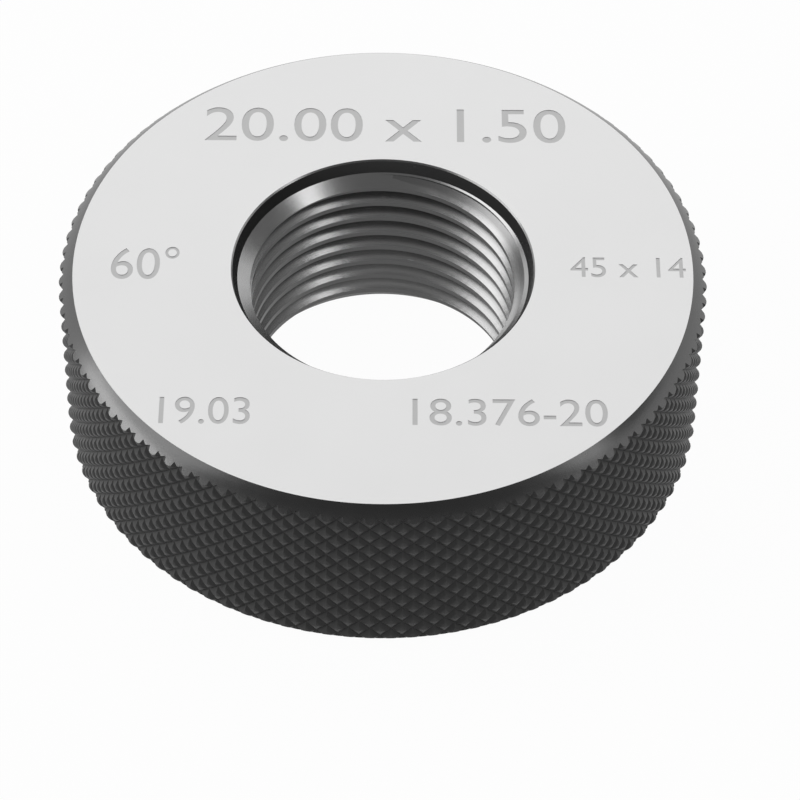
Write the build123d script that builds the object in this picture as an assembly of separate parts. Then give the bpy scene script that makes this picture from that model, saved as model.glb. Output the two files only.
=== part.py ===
from build123d import *
import math
import os

# Thread ring gauge for a 20 mm metric fine thread, the GO member of the pair.
# It is one piece of hardened tool steel: two flat ground faces, a bore for the
# 60 degree thread with a countersunk mouth at each end, and a rim with a
# diamond knurl to turn it by, which runs out into a chamfer at each face.
#
# Frame: the origin is on the bore axis in the lower face, +Z is the axis.

# ---- driving dimensions (mm and degrees) ----------------------------------
outside_diameter = 45.0        # over the points of the knurl
thickness = 14.0               # face to face
rim_chamfer = 1.0              # taken off the rim both ways, at each face

thread_diameter = 20.0         # major diameter, at the thread roots
thread_pitch = 1.5
thread_angle = 60.0
mouth_diameter = 21.1          # of the countersink at each end of the thread, at the face
mouth_angle = 75.0             # included angle of the countersink, in to the thread roots
lead_angle = 90.0              # included angle of the lead, from there in to the crests

knurl_line_count = 96          # lines of each hand round the rim
knurl_angle = 45.0             # of the lines to the axis, before whole rows are fitted
knurl_depth = 0.3

# ---- sizes that follow ----------------------------------------------------
rim_radius = outside_diameter / 2
face_radius = rim_radius - rim_chamfer
mouth_radius = mouth_diameter / 2
root_radius = thread_diameter / 2

# The bore is left at the crests of the thread.  A metric thread is a sharp
# triangle that loses an eighth of its height at the roots of the ring and a
# quarter at its crests, which leaves five eighths between them.
sharp_height = thread_pitch / 2 / math.tan(math.radians(thread_angle / 2))
crest_radius = root_radius - sharp_height * 5 / 8
mouth_depth = (mouth_radius - root_radius) / math.tan(math.radians(mouth_angle / 2))
lead_depth = (root_radius - crest_radius) / math.tan(math.radians(lead_angle / 2))

# The knurl is a lattice of columns round the rim and rows along it.  Its lines
# cross at every other lattice point, and a point of the knurl stands on each
# of the others.  Whole rows fill the rim between the two chamfers.
line_radius = rim_radius - knurl_depth
columns = 2 * knurl_line_count
column_turn = 2 * math.pi / columns
knurled_height = thickness - 2 * rim_chamfer
row_rise = rim_radius * column_turn / math.tan(math.radians(knurl_angle))
rows = round(knurled_height / row_rise)


def on_rim(column, radius, height):
    """A point at a column's place round the rim."""
    turn = column * column_turn
    return Vector(radius * math.cos(turn), radius * math.sin(turn), height)


def lattice_point(column, row):
    """A point of the knurl where column + row is odd, and a crossing of its lines where it is even.

    The outermost crossings lie where the lines run out into the chamfers.
    """
    if (column + row) % 2:
        return on_rim(column, rim_radius, rim_chamfer + knurled_height * row / rows)
    run_out = {0: -knurl_depth, rows: knurl_depth}.get(row, 0)
    return on_rim(column, line_radius, rim_chamfer + knurled_height * row / rows + run_out)


def flat(*corners):
    """A flat face with these corners."""
    return Face(Wire.make_polygon(corners, close=True))


def knurl_facets():
    """Four facets round each point of the knurl, and two where a chamfer cuts the point in half."""
    facets = []
    for row in range(rows + 1):
        for column in range(1 - row % 2, columns, 2):
            point = lattice_point(column, row)
            left, right = lattice_point(column - 1, row), lattice_point(column + 1, row)
            if row < rows:
                above = lattice_point(column, row + 1)
                facets += [flat(point, right, above), flat(point, above, left)]
            if row > 0:
                below = lattice_point(column, row - 1)
                facets += [flat(point, left, below), flat(point, below, right)]
    return facets


def chamfer_facets(row, height):
    """The chamfer between an end row of the knurl and the face at this height, a flat for each column."""
    return [
        flat(
            on_rim(column, face_radius, height),
            on_rim(column + 1, face_radius, height),
            lattice_point(column + 1, row),
            lattice_point(column, row),
        )
        for column in range(columns)
    ]


def knurled_blank():
    """The ring before it is bored: the knurled rim, its chamfers and the two faces, sewn to a solid."""
    shell = knurl_facets()
    for row, height in ((0, 0), (rows, thickness)):
        shell += chamfer_facets(row, height)
        shell.append(flat(*[on_rim(column, face_radius, height) for column in range(columns)]))
    return Solid(Shell(shell))


def bore():
    """The hole through the ring: a countersink, a lead, the bore at the thread crests, and the same again."""
    crests_from = mouth_depth + lead_depth
    section = Polyline(
        (0, 0),
        (mouth_radius, 0),
        (root_radius, mouth_depth),
        (crest_radius, crests_from),
        (crest_radius, thickness - crests_from),
        (root_radius, thickness - mouth_depth),
        (mouth_radius, thickness),
        (0, thickness),
        close=True,
    )
    return revolve(Plane.XZ * make_face(section), Axis.Z)


gauge_ring = knurled_blank() - bore()

os.makedirs("parts", exist_ok=True)
export_step(gauge_ring, "parts/gauge_ring.step")
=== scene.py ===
# %% [markdown]
# # A thread ring gauge
#
# The gauge is one piece of hardened tool steel.  It is made in an order that
# shows in its finishes: a bar is knurled, the ring is turned from it, the
# thread is cut, and the whole ring is blackened.  Then both faces and the
# thread are ground and lapped, which takes the black off them again.
#
# The model is made in the same order.  Each cutting step is a Boolean
# modifier, so that the knurl runs out into the chamfer and the thread into its
# mouth at true lines, as they do on the lathe.

# %% Load the measured part
import math

import bpy
from mathutils import Matrix, Vector


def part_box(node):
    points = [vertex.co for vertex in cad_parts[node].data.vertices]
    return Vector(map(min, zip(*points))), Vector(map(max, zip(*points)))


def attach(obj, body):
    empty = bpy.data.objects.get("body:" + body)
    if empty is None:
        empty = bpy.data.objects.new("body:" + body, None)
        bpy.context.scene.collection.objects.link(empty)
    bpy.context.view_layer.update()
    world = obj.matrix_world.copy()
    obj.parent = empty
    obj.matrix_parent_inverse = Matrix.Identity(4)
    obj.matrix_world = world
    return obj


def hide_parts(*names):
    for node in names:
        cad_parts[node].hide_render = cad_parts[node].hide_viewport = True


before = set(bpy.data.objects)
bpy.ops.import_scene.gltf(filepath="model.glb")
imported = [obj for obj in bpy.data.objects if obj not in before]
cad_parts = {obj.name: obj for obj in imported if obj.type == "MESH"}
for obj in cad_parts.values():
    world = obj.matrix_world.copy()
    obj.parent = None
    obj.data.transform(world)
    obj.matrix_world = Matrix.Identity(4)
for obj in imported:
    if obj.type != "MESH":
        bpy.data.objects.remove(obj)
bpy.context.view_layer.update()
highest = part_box("gauge_ring")[1]

# %% [markdown]
# ## Sizes
#
# The ring's outside comes from the frame.  The rest are the sizes that the
# part's drawing gives, in millimetres, and the mouth in the detail that the
# drawing leaves out: a fine edge, a steep wall and a flatter lead.  The model
# is made in millimetres too, one Blender unit for each, because the smallest
# faces are tenths of a millimetre, and it is brought to metres at the end.

# %% Sizes
MM = 0.001

rim_radius = highest.x / MM
thickness = highest.z / MM
mid_height = thickness / 2
rim_chamfer = 1.0

thread_diameter = 20.0
thread_pitch = 1.5
thread_angle = math.radians(60)
root_radius = thread_diameter / 2
# A sharp thread loses an eighth of its height at the roots and a quarter at the crests.
sharp_height = thread_pitch / 2 / math.tan(thread_angle / 2)
crest_radius = root_radius - sharp_height * 5 / 8

mouth_radius = 10.55
mouth_break = 0.1          # the fine edge where the face meets the mouth
mouth_foot_radius = 10.12  # at the foot of the steep wall, where the lead begins
mouth_depth = 0.9          # of that foot below the face
lead_slope = math.tan(math.radians(36))   # how fast the lead drops towards the bore
lead_depth = mouth_depth + (mouth_foot_radius - crest_radius) * lead_slope

knurl_line_count = 96
knurl_depth = 0.3
knurl_rows = 16
column_turn = math.pi / knurl_line_count   # the points stand in two columns for each line
row_rise = (thickness - 2 * rim_chamfer) / knurl_rows

print(f"ring {2 * rim_radius:.2f} x {thickness:.2f} mm, bore at the crests {2 * crest_radius:.3f} mm")


# %% [markdown]
# ## Small helpers
#
# An operator works on whatever is selected, so each step starts by clearing
# the selection.  Faces and corners are then picked by where they are.

# %% Helpers for objects
def only(piece):
    """Selects one object and nothing else."""
    bpy.ops.object.select_all(action="DESELECT")
    piece.select_set(True)
    bpy.context.view_layer.objects.active = piece
    return piece


def named(name):
    """Names the object that was just added."""
    piece = bpy.context.object
    piece.name = name
    piece.data.name = name
    return only(piece)


def settle(piece):
    """Puts an object's place, turn and scale into its mesh."""
    only(piece)
    bpy.ops.object.transform_apply(location=True, rotation=True, scale=True)
    return piece


def finish_with(piece, kind, **settings):
    """Adds one modifier to a piece and applies it."""
    only(piece)
    modifier = piece.modifiers.new(kind.title(), kind)
    for key, value in settings.items():
        setattr(modifier, key, value)
    bpy.ops.object.modifier_apply(modifier=modifier.name)
    return piece


def cut(piece, tool, operation="DIFFERENCE", **settings):
    """Cuts a piece with a closed tool, or keeps what both share, and takes the tool away."""
    finish_with(piece, "BOOLEAN", object=tool, operation=operation, solver="EXACT", **settings)
    bpy.data.objects.remove(tool)
    print(f"{piece.name} after {operation.lower()}: {len(piece.data.polygons)} faces")
    return piece


# %% Helpers for picking in edit mode
weld_gap = 0.0005          # corners nearer than this are one corner


def pick(piece, corner_test):
    """In edit mode, selects the corners that pass a test, with what lies between them."""
    bpy.ops.mesh.select_all(action="DESELECT")
    bpy.ops.object.mode_set(mode="OBJECT")
    for vertex in piece.data.vertices:
        vertex.select = corner_test(vertex.co)
    bpy.ops.object.mode_set(mode="EDIT")
    bpy.ops.mesh.select_mode(type="VERT")


def clean(piece, gap=weld_gap):
    """Merges corners that coincide and turns every face outwards."""
    only(piece)
    bpy.ops.object.mode_set(mode="EDIT")
    bpy.ops.mesh.select_all(action="SELECT")
    bpy.ops.mesh.remove_doubles(threshold=gap)
    bpy.ops.mesh.normals_make_consistent(inside=False)
    bpy.ops.object.mode_set(mode="OBJECT")
    return piece


# %% [markdown]
# ## The knurl
#
# Two rolls press two families of slanting lines into the bar, one of each
# hand, and a small four-sided point is left standing wherever they don't
# reach.  A bump map could fake it, but the points show on the outline of the
# rim, so they are real.  One point is modelled, from a four-sided cone, and
# copied up the bar and then round it.  Its corners meet its neighbours'
# corners, so that the copies merge to one skin.

# %% One point of the knurl
point_flat = 0.26          # half the diagonal of the worn flat on the top
point_edge = 0.1           # the rounding round that flat
line_radius = rim_radius - knurl_depth
half_way_up = rim_radius - knurl_depth / 2


def knurl_point():
    bpy.ops.mesh.primitive_cone_add(
        vertices=4,
        radius1=row_rise,
        radius2=point_flat,
        depth=knurl_depth,
        end_fill_type="NGON",
        location=(half_way_up, 0, 0),
        rotation=(0, math.radians(90), 0),
    )
    point = settle(named("knurl_point"))
    across = line_radius * math.sin(column_turn)
    bpy.ops.object.mode_set(mode="EDIT")

    # The foot is as wide as the lines are apart round the rim.
    bpy.ops.mesh.select_all(action="SELECT")
    bpy.ops.transform.resize(value=(1, across / row_rise, 1), center_override=(0, 0, 0))
    # Its two side corners lie back on the circle that the lines' bottoms are on.
    pick(point, lambda co: co.x < half_way_up and abs(co.y) > across / 2)
    bpy.ops.transform.translate(value=(line_radius * (math.cos(column_turn) - 1), 0, 0))
    # The foot's own face would end up inside the bar.
    pick(point, lambda co: co.x < half_way_up)
    bpy.ops.mesh.delete(type="ONLY_FACE")
    # The rolls leave the flat's edge slightly round.
    pick(point, lambda co: co.x > half_way_up)
    bpy.ops.mesh.bevel(offset=point_edge, segments=1, affect="EDGES")
    bpy.ops.object.mode_set(mode="OBJECT")
    return point


# %% The knurled bar
rows_beyond = 2            # the bar is longer than the ring by so many rows at each end
point_weld_gap = 0.002     # neighbouring points meet to within this


def column_of_points(point, first_row, turn):
    """A column of the knurl: every other row, a little past both ends of the ring."""
    column = only(point)
    count = (knurl_rows + rows_beyond - first_row) // 2 + 1
    finish_with(column, "ARRAY", count=count, use_relative_offset=False, use_constant_offset=True,
                constant_offset_displace=(0, 0, 2 * row_rise))
    column.location.z = rim_chamfer + first_row * row_rise
    column.rotation_euler.z = turn
    return settle(column)


def knurled_bar():
    first = knurl_point()
    second = first.copy()
    second.data = first.data.copy()
    bpy.context.collection.objects.link(second)
    column_of_points(first, 1 - rows_beyond, 0)
    column_of_points(second, -rows_beyond, column_turn)

    # The two columns stand for one pair of lines, and are spun into all of them.
    only(first)
    second.select_set(True)
    bpy.ops.object.join()
    bar = named("knurled_bar")
    bpy.ops.object.mode_set(mode="EDIT")
    bpy.ops.mesh.select_all(action="SELECT")
    bpy.ops.mesh.spin(
        steps=knurl_line_count - 1,
        dupli=True,
        angle=2 * math.pi - 2 * column_turn,
        center=(0, 0, 0),
        axis=(0, 0, 1),
    )
    bpy.ops.mesh.select_all(action="SELECT")
    bpy.ops.mesh.remove_doubles(threshold=point_weld_gap)

    # Each open end is drawn in to a point, which closes the bar.
    for at_the_end in (lambda co: co.z < mid_height, lambda co: co.z > mid_height):
        bpy.ops.mesh.select_all(action="DESELECT")
        bpy.ops.mesh.select_mode(type="VERT")
        bpy.ops.mesh.select_non_manifold()
        bpy.ops.object.mode_set(mode="OBJECT")
        for vertex in bar.data.vertices:
            vertex.select = vertex.select and at_the_end(vertex.co)
        for edge in bar.data.edges:
            edge.select = edge.select and all(at_the_end(bar.data.vertices[v].co) for v in edge.vertices)
        bpy.ops.object.mode_set(mode="EDIT")
        bpy.ops.mesh.extrude_region_move()
        bpy.ops.mesh.merge(type="CENTER")
    bpy.ops.object.mode_set(mode="OBJECT")
    clean(bar)
    print(f"knurled bar: {len(bar.data.polygons)} faces")
    return bar


# %% [markdown]
# ## The turned ring
#
# Everything that the lathe tool touches is one outline, turned round the
# axis.  The outline is walked from the rim over the chamfer and the face, down
# the mouth's steep wall and the flatter lead into the bore: a circle of edges
# is extruded and scaled from one station to the next.  Only the upper half is
# made, and a Mirror modifier makes the other.
#
# The chamfer is a little crowned, as it is when a hand file breaks its edges,
# and that is why its highlight has two tones.

# %% The turned ring
turning_steps = 256
clear_of_knurl = 1.5       # how far the turned outline starts outside the rim
chamfer_crown = 0.04       # how far the middle of the chamfer stands out of its flat
mirror_gap = 0.001         # the two halves are merged within this


def chamfer_stations():
    """Points up the 45 degree chamfer, from outside the rim to the face."""
    stations = []
    for share in (0, 0.25, 0.5, 0.75, 1):
        # The crown stands square on the chamfer, so it goes out as far as it goes up.
        swell = chamfer_crown * 4 * share * (1 - share) * math.sqrt(0.5)
        radius = rim_radius - share * rim_chamfer + swell
        height = thickness - (1 - share) * rim_chamfer + swell
        stations.append((radius, height))
    return stations


def turned_ring():
    outside = rim_radius + clear_of_knurl
    stations = [
        (outside, thickness - rim_chamfer - clear_of_knurl),
        *chamfer_stations(),
        (mouth_radius, thickness),
        (mouth_radius - mouth_break, thickness - mouth_break),
        (mouth_foot_radius, thickness - mouth_depth),
        (crest_radius, thickness - lead_depth),
        (crest_radius, mid_height),
    ]
    bpy.ops.mesh.primitive_circle_add(vertices=turning_steps, radius=outside, location=(0, 0, mid_height))
    ring = named("ring_gauge")
    bpy.ops.object.mode_set(mode="EDIT")
    bpy.ops.mesh.select_all(action="SELECT")
    radius, height = outside, mid_height
    for next_radius, next_height in stations:
        bpy.ops.mesh.extrude_region_move(TRANSFORM_OT_translate={"value": (0, 0, next_height - height)})
        grow = next_radius / radius
        bpy.ops.transform.resize(value=(grow, grow, 1), center_override=(0, 0, 0))
        radius, height = next_radius, next_height
    bpy.ops.object.mode_set(mode="OBJECT")
    finish_with(ring, "MIRROR", use_axis=(False, False, True), merge_threshold=mirror_gap)
    settle(ring)
    clean(ring)
    print(f"turned ring: {len(ring.data.polygons)} faces")
    return ring


# %% [markdown]
# ## The thread
#
# A metric thread is a groove of 60 degrees that climbs one pitch in a turn.
# A Screw modifier winds the groove's section, wide at the bore and narrow at
# the root, into a long closed coil, and the coil is cut out of the bore.  The
# mouth then shows the thread starting and ending as the real one does.

# %% The thread cutter
thread_turns = 12
steps_a_turn = 96
inside_bore = 0.16         # how far the cutter stands inside the bore
crest_height_at_back = 12.34   # height of a crest where the bore crosses +Y


def thread_cutter():
    inner = crest_radius - inside_bore
    # The root's flat is an eighth of the pitch, so half of it is a sixteenth.
    root_half = thread_pitch / 16
    middle = (inner + root_radius) / 2
    inner_half = root_half + (root_radius - inner) * math.tan(thread_angle / 2)
    quarter_turn = thread_pitch / 4
    groove_height = crest_height_at_back - thread_pitch / 2 - quarter_turn
    first_height = groove_height - thread_pitch * math.ceil(groove_height / thread_pitch + 1)

    # A plane stood on edge: wide at the bore, narrow at the root.
    bpy.ops.mesh.primitive_plane_add(size=1, location=(middle, 0, first_height),
                                     rotation=(math.radians(90), 0, 0))
    cutter = named("thread_cutter")
    cutter.scale = (root_radius - inner, 2 * inner_half, 1)
    settle(cutter)
    bpy.ops.object.mode_set(mode="EDIT")
    pick(cutter, lambda co: co.x > middle)
    narrow = root_half / inner_half
    bpy.ops.transform.resize(value=(1, 1, narrow), center_override=(0, 0, first_height))
    bpy.ops.mesh.select_all(action="SELECT")
    bpy.ops.mesh.delete(type="ONLY_FACE")
    bpy.ops.object.mode_set(mode="OBJECT")
    finish_with(cutter, "SCREW", axis="Z", angle=2 * math.pi, screw_offset=thread_pitch,
                iterations=thread_turns, steps=steps_a_turn, render_steps=steps_a_turn,
                use_smooth_shade=False)

    # Close the two ends of the coil.
    bpy.ops.object.mode_set(mode="EDIT")
    bpy.ops.mesh.select_mode(type="VERT")
    bpy.ops.mesh.select_all(action="DESELECT")
    bpy.ops.mesh.select_non_manifold()
    bpy.ops.mesh.fill_holes(sides=4)
    bpy.ops.object.mode_set(mode="OBJECT")
    clean(cutter)
    print(f"thread cutter: {len(cutter.data.polygons)} faces, from {first_height:.2f} mm")
    return cutter


# %% [markdown]
# ## The marks
#
# The marks are etched a few hundredths of a millimetre into the upper face:
# plain figures, the gauge's own sizes in millimetres and its thread angle.
# Each is a text object made a mesh, fitted to the height and length that it
# has on the ring, and cut out.

# %% The marks
mark_depth = 0.03
mark_weld_gap = 0.0002     # finer than elsewhere, for the figures' curves
figure_steps = 6           # steps in each curve of a figure
figure_thickness = 0.5     # before it is fitted to the ring

MARKS = [
    # text, height, length, place across, place along
    ("20.00 x 1.50", 3.4, 25.8, 0.1, 14.0),
    ("60°", 3.1, 4.7, -16.5, 0.2),
    ("45 x 14", 1.9, 8.0, 17.0, 0.1),
    ("19.03", 2.4, 6.1, -11.9, -13.4),
    ("18.376-20", 2.4, 13.1, 8.6, -13.4),
]


def mark(text, height, length, across, along):
    bpy.ops.object.text_add()
    piece = named("mark")
    piece.data.body = text
    piece.data.extrude = figure_thickness
    piece.data.resolution_u = figure_steps
    bpy.ops.object.convert(target="MESH")
    low = [min(v.co[i] for v in piece.data.vertices) for i in range(3)]
    high = [max(v.co[i] for v in piece.data.vertices) for i in range(3)]
    size = (length, height, 2 * mark_depth)
    middle = (across, along, thickness)
    fit = [size[i] / (high[i] - low[i]) for i in range(3)]
    piece.scale = fit
    piece.location = [middle[i] - fit[i] * (low[i] + high[i]) / 2 for i in range(3)]
    return clean(settle(piece), gap=mark_weld_gap)


def all_marks():
    pieces = [mark(*row) for row in MARKS]
    bpy.ops.object.select_all(action="DESELECT")
    for piece in pieces:
        piece.select_set(True)
    bpy.context.view_layer.objects.active = pieces[0]
    bpy.ops.object.join()
    print(f"marks: {len(pieces)}, {len(pieces[0].data.polygons)} faces")
    return named("marks")


# %% [markdown]
# ## Cutting the ring
#
# The turned ring and the knurled bar are brought together by what both share,
# which ends each point of the knurl at the chamfer, as the lathe tool does.
# Then the coil and the marks are cut out.  The marks could be a bump in a
# material, but a real step is still there when the mesh is used by itself.

# %% Make the ring
ring = turned_ring()
cut(ring, knurled_bar(), "INTERSECT")
cut(ring, thread_cutter())
# Some figures are drawn as strokes that overlap, so this tool is first made one with itself.
cut(ring, all_marks(), use_self=True)
clean(ring)

# %% [markdown]
# ## The finishes
#
# Colours are written as sRGB hex values, as a paint chart gives them, and one
# function turns them to the linear values that a shader works with.  Another
# adds a node with its settings and its links.

# %% Helpers for finishes
def colour(code):
    """A hex colour as linear red, green, blue and alpha, by the standard sRGB curve."""
    parts = [int(code[i:i + 2], 16) / 255 for i in (1, 3, 5)]
    return [p / 12.92 if p <= 0.04045 else ((p + 0.055) / 1.055) ** 2.4 for p in parts] + [1]


def add(tree, kind, links=None, settings=None, **values):
    """Adds a node: values fill its inputs, links join them to other sockets, settings are its options."""
    node = tree.nodes.new(kind)
    for key, value in (settings or {}).items():
        setattr(node, key, value)
    for key, value in values.items():
        node.inputs[key.replace("_", " ")].default_value = value
    for key, socket in (links or {}).items():
        tree.links.new(socket, node.inputs[key])
    return node


def new_finish(name, base, metallic, roughness, ior=None):
    """A material with its shader's plain values set, and the point of the surface to pattern it by."""
    material = bpy.data.materials.new(name)
    material.use_nodes = True
    tree = material.node_tree
    shader = tree.nodes["Principled BSDF"]
    shader.inputs["Base Color"].default_value = colour(base)
    shader.inputs["Metallic"].default_value = metallic
    shader.inputs["Roughness"].default_value = roughness
    if ior:
        shader.inputs["IOR"].default_value = ior
    place = add(tree, "ShaderNodeTexCoord").outputs["Object"]
    return material, tree, shader, place


def from_axis(tree, place):
    """How far a point of the surface is from the ring's axis, and how high up it is."""
    parts = add(tree, "ShaderNodeSeparateXYZ", {"Vector": place})
    flat_place = add(tree, "ShaderNodeCombineXYZ", {"X": parts.outputs["X"], "Y": parts.outputs["Y"]})
    radius = add(tree, "ShaderNodeVectorMath", {0: flat_place.outputs["Vector"]}, {"operation": "LENGTH"})
    return radius.outputs["Value"], parts.outputs["Z"]


def per_mm(millimetres):
    """A noise scale whose features are about this size, on coordinates in metres."""
    return 1 / (millimetres * MM)


grain_depth = 0.01 * MM    # how deep a bump's fine grain is, at its full strength


# %% [markdown]
# ### Ground face
#
# Both faces are surface ground and lapped, so that they are flat to a few
# thousandths.  That leaves a fine even grain with no direction, which makes a
# clean satin sheen, a little cloudy where the lap cut more or less.

# %% Ground face
def ground_face():
    material, tree, shader, place = new_finish("lapped_steel_face", "#D9D9D9", 1.0, 0.36)
    cloud = add(tree, "ShaderNodeTexNoise", {"Vector": place}, Scale=per_mm(6), Detail=3.0)
    sheen = add(tree, "ShaderNodeMapRange", {"Value": cloud.outputs["Fac"]}, To_Min=0.33, To_Max=0.40)
    tree.links.new(sheen.outputs["Result"], shader.inputs["Roughness"])
    # A lapped grain is about 0.02 mm; it is drawn at 0.12 mm, the finest that shows.
    grain = add(tree, "ShaderNodeTexNoise", {"Vector": place}, Scale=per_mm(0.12), Detail=2.0)
    bump = add(tree, "ShaderNodeBump", {"Height": grain.outputs["Fac"]}, Strength=0.05, Distance=grain_depth)
    tree.links.new(bump.outputs["Normal"], shader.inputs["Normal"])
    return material


# %% [markdown]
# ### Lapped thread
#
# A thread is lapped by a turning mandrel, so its fine lines run round the
# bore.  It is the same steel as the faces, with a closer polish, and it is
# painted darker towards the roots: painted shade in the groove.

# %% Lapped thread
unshaded_flank = 0.15      # how far from the crests the steel keeps its plain colour
root_shade_flank = 0.3           # how far from the roots the painted shade is full


def lapped_thread():
    material, tree, shader, place = new_finish("lapped_steel_thread_root_shade", "#B8B8B8", 1.0, 0.25)
    # Lines round the bore are a noise drawn out along them: it is read by radius and height.
    # A lap's lines are a few thousandths apart; they are drawn at 0.08 mm, the finest that shows.
    radius, height = from_axis(tree, place)
    across = add(tree, "ShaderNodeCombineXYZ", {"X": radius, "Z": height})
    lines = add(tree, "ShaderNodeTexNoise", {"Vector": across.outputs["Vector"]},
                Scale=per_mm(0.08), Detail=2.0)
    bump = add(tree, "ShaderNodeBump", {"Height": lines.outputs["Fac"]}, Strength=0.15, Distance=grain_depth)
    tree.links.new(bump.outputs["Normal"], shader.inputs["Normal"])
    sheen = add(tree, "ShaderNodeMapRange", {"Value": lines.outputs["Fac"]}, To_Min=0.2, To_Max=0.3)
    tree.links.new(sheen.outputs["Result"], shader.inputs["Roughness"])
    # Painted shade: the flanks are painted darker towards the roots, from over their middle.
    depth = add(tree, "ShaderNodeMapRange", {"Value": radius}, {"interpolation_type": "SMOOTHSTEP"},
                From_Min=(crest_radius + unshaded_flank) * MM, From_Max=(root_radius - root_shade_flank) * MM)
    tint = add(tree, "ShaderNodeMix", {"Factor": depth.outputs["Result"]}, {"data_type": "RGBA"},
               A=colour("#B8B8B8"), B=colour("#989898"))
    tree.links.new(tint.outputs["Result"], shader.inputs["Base Color"])
    return material


# %% [markdown]
# ### Turned lead and broken edge
#
# The lead in to the thread is cut after blackening and left as it comes off
# the tool, smooth and a little grey.  The fine edge where the face meets the
# mouth is broken with a stone, which leaves it greyer than the face.

# %% Turned lead and broken edge
def bare_steel(name, base, bright, dull):
    """Steel with no film on it, whose roughness wanders between two values."""
    material, tree, shader, place = new_finish(name, base, 1.0, dull)
    cloud = add(tree, "ShaderNodeTexNoise", {"Vector": place}, Scale=per_mm(0.8), Detail=3.0)
    sheen = add(tree, "ShaderNodeMapRange", {"Value": cloud.outputs["Fac"]}, To_Min=bright, To_Max=dull)
    tree.links.new(sheen.outputs["Result"], shader.inputs["Roughness"])
    return material


def turned_lead():
    return bare_steel("turned_steel_lead", "#B0B0B0", 0.2, 0.27)


def stoned_edge():
    return bare_steel("stoned_steel_edge", "#909090", 0.2, 0.3)


# %% [markdown]
# ### Crest, painted dark as shade
#
# The lap bears on the flanks.  The crests between them are painted a dark
# grey as painted shade, for the shadowed floor in the bore that they mirror.

# %% Crest, painted dark as shade
def crest_painted_shade():
    # The dark grey is painted shade, not the steel's own colour.
    return bare_steel("painted_shade_crest", "#585858", 0.3, 0.42)


# %% [markdown]
# ### Black oxide
#
# Blackening turns the skin of the steel to a thin oxide that holds oil.  It
# looks like a dark film and not like bare metal, so its metallic value is 0.
# The oxide bends light strongly where it is dense and smooth, as on the turned
# chamfer.  The mouth's steep wall is given a dark film like it as painted
# shade, for the shadow and the dim room that the bare wall mirrors.  On the
# rolled knurl it is drier and duller, with points that hands have rubbed a
# little paler.

# %% Black oxide
wear_depth = 0.08          # how far down the points hands have rubbed


def black_oxide(name, base, dull, bright, ior):
    """The oxide film, whose roughness wanders between two values over a fine grain."""
    material, tree, shader, place = new_finish(name, base, 0.0, dull, ior)
    cloud = add(tree, "ShaderNodeTexNoise", {"Vector": place}, Scale=per_mm(1.5), Detail=4.0)
    sheen = add(tree, "ShaderNodeMapRange", {"Value": cloud.outputs["Fac"]}, To_Min=bright, To_Max=dull)
    tree.links.new(sheen.outputs["Result"], shader.inputs["Roughness"])
    # The oxide's crystals are too fine to see; they are drawn at 0.15 mm, as coarse as shows.
    grain = add(tree, "ShaderNodeTexNoise", {"Vector": place}, Scale=per_mm(0.15), Detail=2.0)
    bump = add(tree, "ShaderNodeBump", {"Height": grain.outputs["Fac"]}, Strength=0.2, Distance=grain_depth)
    tree.links.new(bump.outputs["Normal"], shader.inputs["Normal"])
    return material, tree, shader, place


def mouth_painted_shade():
    # Painted shade: this dark film stands for the shadow on the mouth's bare steel wall.
    return black_oxide("painted_shade_mouth_wall", "#323232", 0.3, 0.22, 1.45)[0]


def chamfer_black():
    return black_oxide("black_oxide_chamfer", "#101010", 0.3, 0.22, 2.0)[0]


def knurl_black():
    material, tree, shader, place = black_oxide("black_oxide_knurl", "#2C2C2C", 0.58, 0.44, 1.42)
    # Wear grows over the last few hundredths of a millimetre of each point, in patches.
    radius = from_axis(tree, place)[0]
    rubbed = add(tree, "ShaderNodeMapRange", {"Value": radius},
                 From_Min=(rim_radius - wear_depth) * MM, From_Max=rim_radius * MM)
    patches = add(tree, "ShaderNodeTexNoise", {"Vector": place}, Scale=per_mm(2.0), Detail=3.0)
    wear = add(tree, "ShaderNodeMath", {0: rubbed.outputs["Result"], 1: patches.outputs["Fac"]},
               {"operation": "MULTIPLY"})
    tint = add(tree, "ShaderNodeMix", {"Factor": wear.outputs["Value"]}, {"data_type": "RGBA"},
               A=colour("#2C2C2C"), B=colour("#484848"))
    tree.links.new(tint.outputs["Result"], shader.inputs["Base Color"])
    return material


# %% [markdown]
# ### Etched mark
#
# Acid or a laser leaves the marks a dull grey that doesn't shine with the
# face round them.

# %% Etched mark
def etched_mark():
    material, tree, shader, place = new_finish("etched_steel_mark", "#BABABA", 1.0, 0.45)
    # An etched grain is a few hundredths across; it is drawn at 0.1 mm, the finest that shows.
    grain = add(tree, "ShaderNodeTexNoise", {"Vector": place}, Scale=per_mm(0.1), Detail=2.0)
    sheen = add(tree, "ShaderNodeMapRange", {"Value": grain.outputs["Fac"]}, To_Min=0.4, To_Max=0.52)
    tree.links.new(sheen.outputs["Result"], shader.inputs["Roughness"])
    return material


# %% [markdown]
# ## Which finish goes where
#
# Each face of the mesh is given its finish by its place.  What lies in a plane
# of the two ends is ground, and what is sunk just below it is etched.  In the
# mouth come the stoned edge, the wall painted black as shade and the bare lead,
# and inside them the crests painted dark grey as shade and the lapped flanks,
# painted darker towards the roots as shade.  The chamfer and the knurl are black.

# %% Give the finishes
FACE, THREAD, LEAD, EDGE, CREST, MOUTH, CHAMFER, KNURL, MARK = range(9)
FINISHES = ("face", "thread", "lead", "edge", "crest", "mouth", "chamfer", "knurl", "mark")

# The upright share of a face's normal: of one that looks along the axis, of a
# wall round it, and of the 45 degree chamfer at least.
along_axis, wall, chamfer_tilt = 0.999, 0.1, 0.5
# How near a face's centre comes to the surface that it lies on.
crest_gap, lead_gap, chamfer_gap = 0.02, 0.005, 0.01
marks_clear_of_chamfer = 0.1


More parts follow.
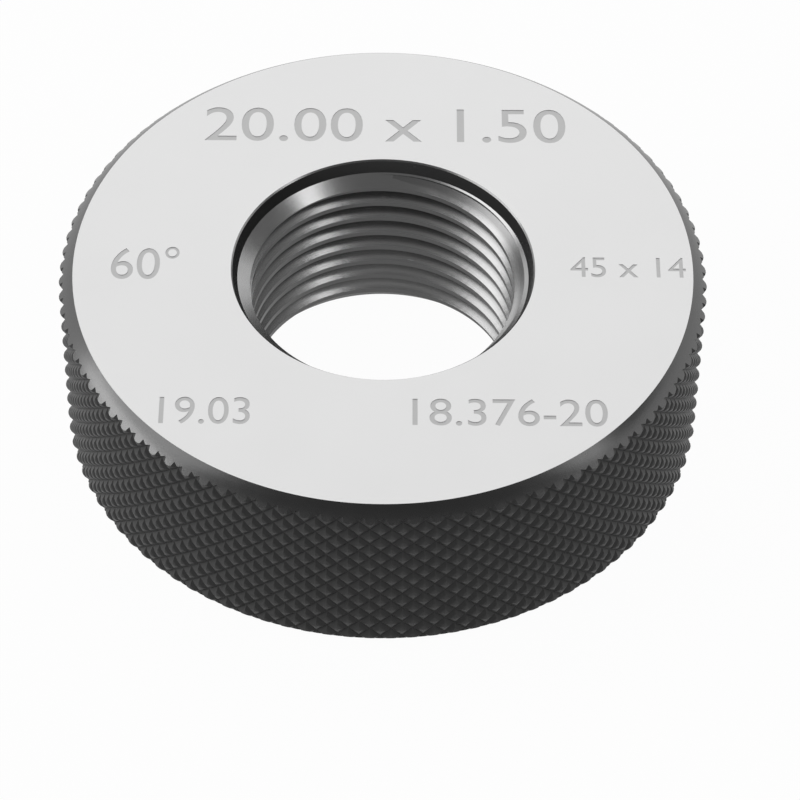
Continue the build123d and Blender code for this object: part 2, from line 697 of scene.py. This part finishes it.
def finish_of(centre, normal):
    """The finish of one face, from its centre in millimetres and its normal."""
    radius = math.hypot(centre.x, centre.y)
    below_face = mid_height - abs(centre.z - mid_height)
    upright = abs(normal.z)
    if upright > along_axis and radius > mouth_radius:
        return FACE if below_face < mark_depth / 2 else MARK
    # The marks' own side walls are within their depth of the face.
    marked_to = rim_radius - rim_chamfer - marks_clear_of_chamfer
    if mouth_radius < radius < marked_to and below_face < 2 * mark_depth:
        return MARK
    if radius < crest_radius + crest_gap and upright < wall:
        return CREST
    if radius < mouth_radius:
        if below_face < mouth_break:
            return EDGE
        if below_face < mouth_depth:
            return MOUTH
        past_lead = below_face - mouth_depth - (mouth_foot_radius - radius) * lead_slope
        return LEAD if abs(past_lead) < lead_gap else THREAD
    past_chamfer = radius - below_face - (rim_radius - rim_chamfer)
    return CHAMFER if past_chamfer > -chamfer_gap and upright > chamfer_tilt else KNURL


def give_finishes(piece):
    # The finishes are made in the order of their numbers.
    for make in (ground_face, lapped_thread, turned_lead, stoned_edge, crest_painted_shade,
                 mouth_painted_shade, chamfer_black, knurl_black, etched_mark):
        piece.data.materials.append(make())
    counts = [0] * len(FINISHES)
    for face in piece.data.polygons:
        face.material_index = finish_of(face.center, face.normal)
        counts[face.material_index] += 1
    print("faces by finish:", dict(zip(FINISHES, counts)))


give_finishes(ring)

# %% [markdown]
# ## To metres, and smooth
#
# A round surface is a row of flats until it is shaded smooth, and a corner
# that is shaded smooth looks melted.  So smoothing goes by angle: it takes
# the small turns from one flat to the next and leaves the true corners.  The
# faces and the marks are flat, and are left out of it altogether.

# %% Bring the ring to metres
smooth_below = math.radians(18)

only(ring)
ring.scale = (MM, MM, MM)
settle(ring)
bpy.ops.object.shade_smooth_by_angle(angle=smooth_below)
bpy.ops.object.mode_set(mode="EDIT")
bpy.ops.mesh.select_mode(type="FACE")
bpy.ops.mesh.select_all(action="DESELECT")
for finish in (FACE, MARK):
    ring.active_material_index = finish
    bpy.ops.object.material_slot_select()
bpy.ops.mesh.faces_shade_flat()
bpy.ops.object.mode_set(mode="OBJECT")
triangles = sum(len(face.vertices) - 2 for face in ring.data.polygons)
print(f"ring: {triangles} triangles")

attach(ring, "root")
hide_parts("gauge_ring")

# %% [markdown]
# ## The studio
#
# The ring stands on a pale cove, a floor that turns up at its edge, so that it
# is seen against white from every side and the lead has that white to mirror.
# The cove is really a light grey paint.  A camera ray, or one that comes by way
# of a mirror, finds most of it glowing white, which keeps the ground white
# without more light on the ring, and the share that doesn't glow keeps the
# ring's shadow.

# %% The cove
cove_radius = 2.5
cove_height = 1.1
cove_rise_width = 0.4      # of the band that turns up
cove_glow = 0.97


def cove_paint():
    material = bpy.data.materials.new("pale_cove_paint")
    material.use_nodes = True
    tree = material.node_tree
    tree.nodes.clear()
    paint = add(tree, "ShaderNodeBsdfDiffuse", Color=colour("#E6E6E6"))
    glow = add(tree, "ShaderNodeEmission", Color=(1, 1, 1, 1), Strength=1.0)
    ray = add(tree, "ShaderNodeLightPath")
    mirrored = add(tree, "ShaderNodeMath",
                   {0: ray.outputs["Is Glossy Ray"], 1: ray.outputs["Is Transmission Ray"]},
                   {"operation": "MAXIMUM"})
    seen = add(tree, "ShaderNodeMath", {0: ray.outputs["Is Camera Ray"], 1: mirrored.outputs["Value"]},
               {"operation": "MAXIMUM"})
    share = add(tree, "ShaderNodeMath", {0: seen.outputs["Value"]}, {"operation": "MULTIPLY"})
    share.inputs[1].default_value = cove_glow
    mixed = add(tree, "ShaderNodeMixShader",
                {"Fac": share.outputs["Value"], 1: paint.outputs["BSDF"], 2: glow.outputs["Emission"]})
    add(tree, "ShaderNodeOutputMaterial", {"Surface": mixed.outputs["Shader"]})
    return material


def cove():
    bpy.ops.mesh.primitive_circle_add(vertices=96, radius=cove_radius, fill_type="NGON")
    floor = named("cove")
    bpy.ops.object.mode_set(mode="EDIT")
    bpy.ops.mesh.select_all(action="SELECT")
    bpy.ops.mesh.inset(thickness=cove_rise_width)
    bpy.ops.mesh.select_all(action="DESELECT")
    bpy.ops.object.mode_set(mode="OBJECT")
    for vertex in floor.data.vertices:
        if math.hypot(vertex.co.x, vertex.co.y) > cove_radius - cove_rise_width / 2:
            vertex.co.z = cove_height
    floor.data.materials.append(cove_paint())
    bpy.ops.object.shade_smooth()
    print(f"cove: {2 * cove_radius:.1f} m across")


cove()


# %% [markdown]
# ## The lamps
#
# Polished metal shows its lamps, so they are placed by what each face of the
# ring mirrors.  A wide softbox behind and above fills the upper face.  Two on
# the left, a bright one low down and a dimmer one above it, draw the highlight
# on the chamfer and in the thread.  A tall narrow strip on the right sets a thin
# bright band across the turns of the thread, and the room itself is dim.

# %% The lamps
def softbox(name, turn, rise, distance, size, radiance):
    """A lamp that faces the ring, at so many degrees round from +X and up from the floor.

    Its power follows from how bright its surface looks.
    """
    turn, rise = math.radians(turn), math.radians(rise)
    towards = (math.cos(rise) * math.cos(turn), math.cos(rise) * math.sin(turn), math.sin(rise))
    place = distance * Vector(towards)
    bpy.ops.object.light_add(type="AREA", location=place)
    lamp = bpy.context.object
    lamp.name = name
    lamp.data.shape = "RECTANGLE"
    lamp.data.size, lamp.data.size_y = size
    lamp.data.energy = radiance * math.pi * size[0] * size[1]
    lamp.rotation_euler = place.to_track_quat("Z", "Y").to_euler()
    lamp.visible_camera = False
    print(f"{name}: {lamp.data.energy:.3f} W")


LAMPS = [
    # name, degrees round, degrees up, metres away, width and height, radiance
    ("softbox_back", 91, 47.5, 0.6, (0.665, 0.7), 0.98),
    ("softbox_left_low", 184, 17, 0.5, (0.34, 0.14), 3.2),
    ("softbox_left_high", 182, 42.5, 0.5, (0.424, 0.268), 1.9),
    ("strip_right", -19, 46, 0.5, (0.09, 0.36), 2.4),
]
room_light = 0.17

for row in LAMPS:
    softbox(*row)

world = bpy.data.worlds.new("dim_room")
bpy.context.scene.world = world
world.use_nodes = True
room = world.node_tree.nodes["Background"]
room.inputs["Color"].default_value = (1, 1, 1, 1)
room.inputs["Strength"].default_value = room_light

# %% [markdown]
# ## The camera
#
# A long lens from 47 degrees above, which keeps the near and far rim close to
# the same size.

# %% The camera
camera_elevation = math.radians(47.45)
camera_distance = 0.2763
camera_roll = 0.0126
camera_near = 0.01         # nothing nearer than this is drawn
focal_pixels, frame_pixels, sensor = 3908.6, 800, 36
aim = Vector((1.25, -6.13, mid_height)) * MM   # what lies in the middle of the picture

bpy.ops.object.camera_add()
camera = bpy.context.object
camera.data.sensor_width = sensor
camera.data.lens = focal_pixels / frame_pixels * sensor
camera.data.clip_start = camera_near
camera.location = Vector((0, 0, mid_height * MM)) + camera_distance * Vector(
    (0, -math.cos(camera_elevation), math.sin(camera_elevation)))
look = (aim - camera.location).to_track_quat("-Z", "Y").to_matrix()
camera.rotation_euler = (look @ Matrix.Rotation(camera_roll, 3, "Z")).to_euler()
bpy.context.scene.camera = camera
bpy.context.scene.view_settings.view_transform = "Standard"
print(f"camera: {camera.data.lens:.1f} mm lens, {camera_distance:.3f} m away")
